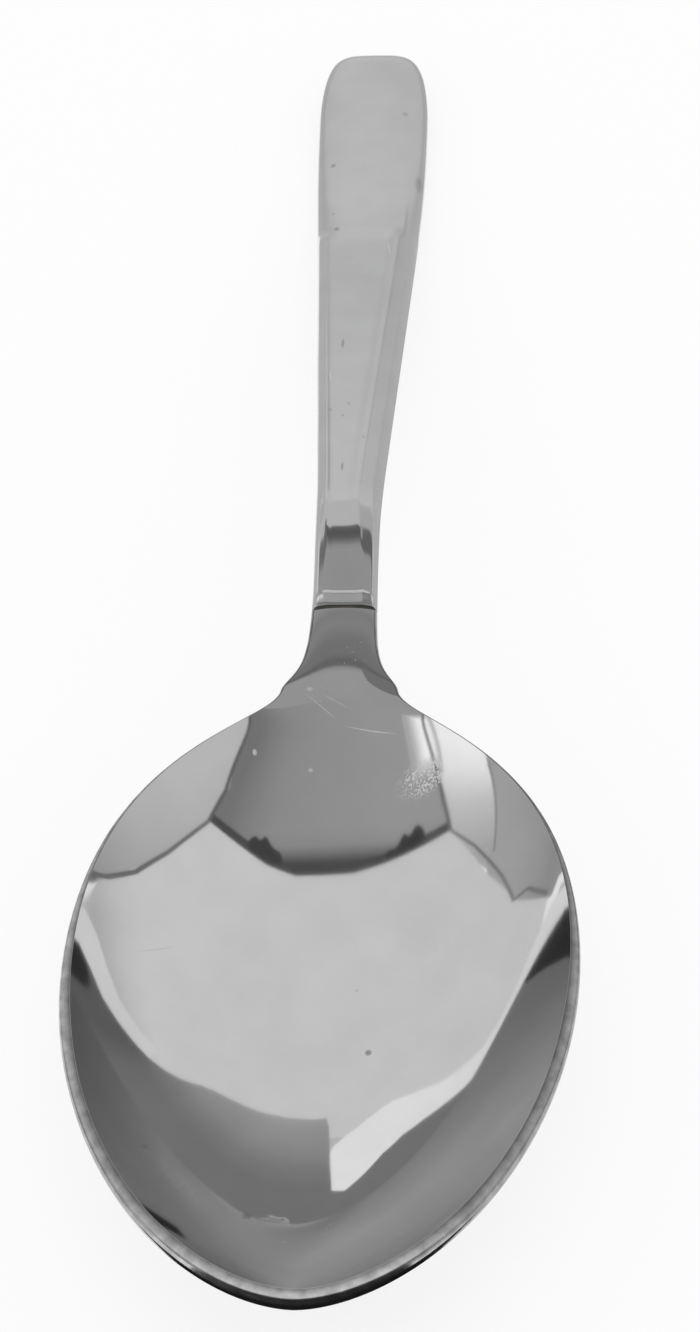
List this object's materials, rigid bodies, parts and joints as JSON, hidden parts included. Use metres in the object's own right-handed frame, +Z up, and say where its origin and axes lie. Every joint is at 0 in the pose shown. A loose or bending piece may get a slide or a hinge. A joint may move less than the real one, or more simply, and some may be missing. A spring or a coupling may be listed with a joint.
{
  "type": "serving spoon",
  "caption": "Polished steel serving spoon with an egg-shaped bowl, a stepped neck and a hollow handle with a shallow front panel.",
  "frame": {"origin": "on the table the spoon lies on, under the middle of its length and width", "axes": "+Y along the spoon from the bowl's tip to the handle's end, +Z up out of the bowl, +X to the right seen from the bowl's tip"},
  "size_m": [0.059, 0.2186, 0.0249],
  "materials": {
    "polished_steel_bowl": "polished",
    "polished_steel_handle": "polished",
    "resin_filler": "matte",
    "braze": "satin"
  },
  "bodies": {
    "root": {"bowl": "polished_steel_bowl", "handle_front_shell": "polished_steel_handle", "handle_back_shell": "polished_steel_handle", "handle_filler": "resin_filler", "neck_braze": "braze"}
  },
  "joints": []
}
